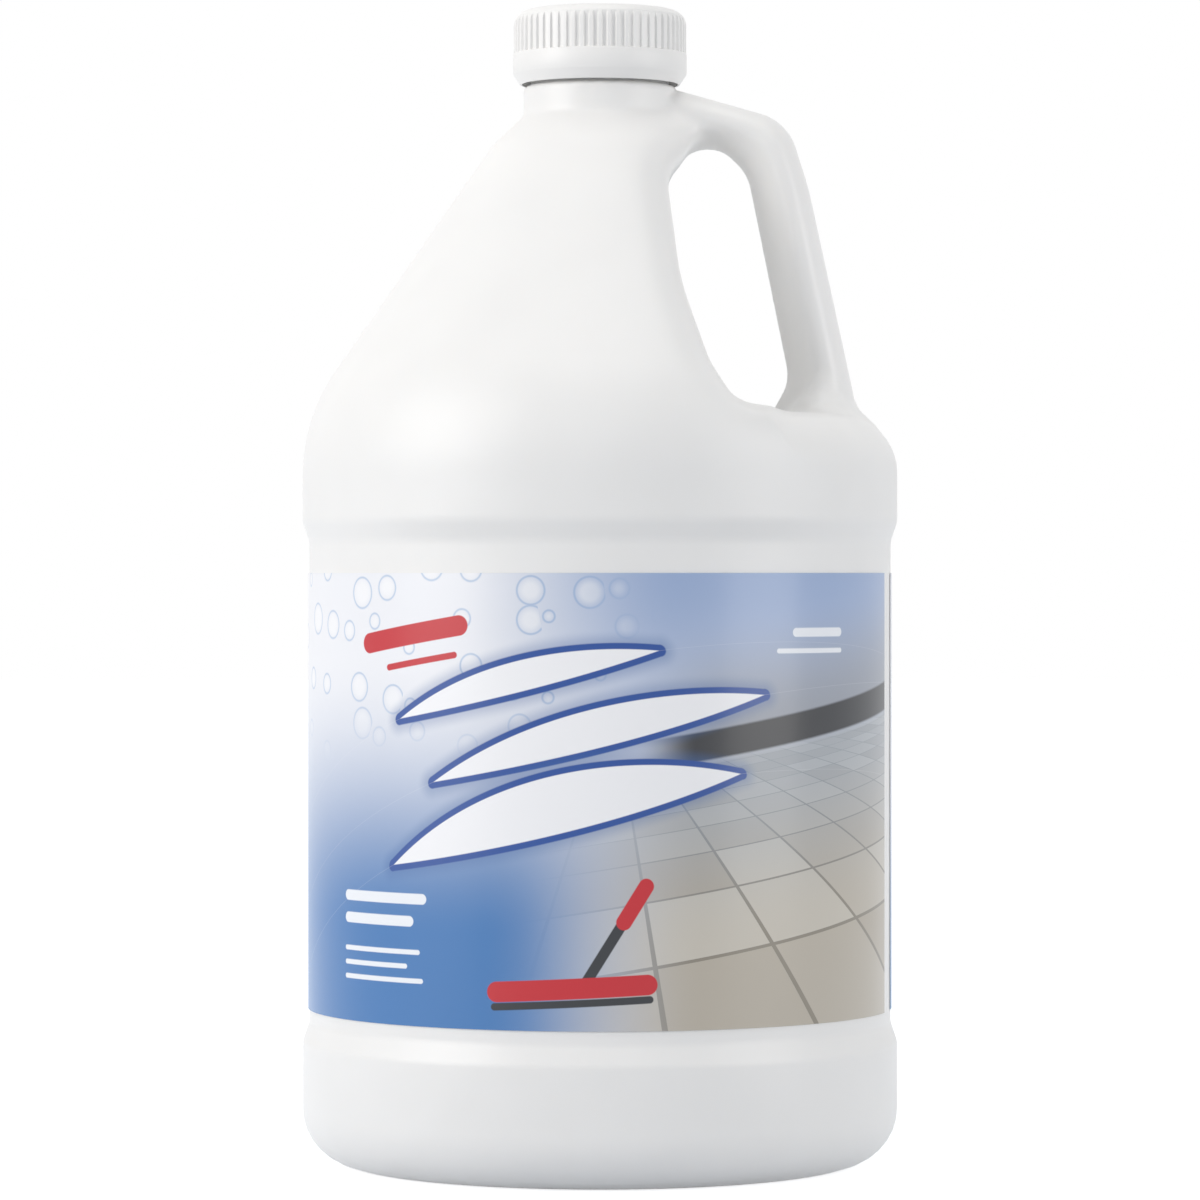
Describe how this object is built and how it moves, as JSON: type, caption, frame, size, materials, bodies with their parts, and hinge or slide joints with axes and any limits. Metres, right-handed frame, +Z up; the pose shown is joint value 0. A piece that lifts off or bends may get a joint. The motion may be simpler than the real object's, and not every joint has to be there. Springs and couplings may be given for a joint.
{
  "type": "one gallon round jug with moulded-in grip handle",
  "caption": "Round one-gallon plastic jug with a hollow side grip, recessed label panel, threaded neck and ribbed push-and-turn cap",
  "frame": {"origin": "centre of the standing ring, on the surface that the jug stands on, on the axis of the body", "axes": "+Z up along the axis of the body and neck, +X towards the grip, -Y towards the middle of the front"},
  "size_m": [0.1515, 0.1514, 0.2934],
  "materials": {
    "bottle_hdpe": "satin white blow-moulded HDPE",
    "cap_polypropylene": "satin white moulded polypropylene",
    "inner_cap_polypropylene": "satin white moulded polypropylene",
    "liner_foam": "foamed polyethylene disc",
    "front_label_film": "printed film, soft gloss",
    "back_label_film": "printed film, soft gloss"
  },
  "bodies": {
    "bottle": {"bottle": "bottle_hdpe", "front_label": "front_label_film", "back_label": "back_label_film"},
    "liner": {"cap_liner": "liner_foam"},
    "inner_cap": {"cap_inner": "inner_cap_polypropylene"},
    "outer_cap": {"cap_outer": "cap_polypropylene"}
  },
  "joints": [
    {"name": "cap_lift", "type": "slide", "parent": "bottle", "child": "liner", "axis": [0, 0, 1], "range_m": [0, 0.00423]},
    {"name": "cap_turn", "type": "hinge", "parent": "liner", "child": "inner_cap", "pos_m": [0, 0, 0.284], "axis": [0, 0, 1], "range_deg": [0, 360]},
    {"name": "cap_push", "type": "slide", "parent": "inner_cap", "child": "outer_cap", "axis": [0, 0, 1], "range_m": [-0.0009, 0], "stiffness_N_per_m": 2000, "springref_m": 0.002}
  ],
  "couplings": [
    {"joint": "cap_lift", "follows": "cap_turn", "m_per_rad": 0.00067371}
  ]
}
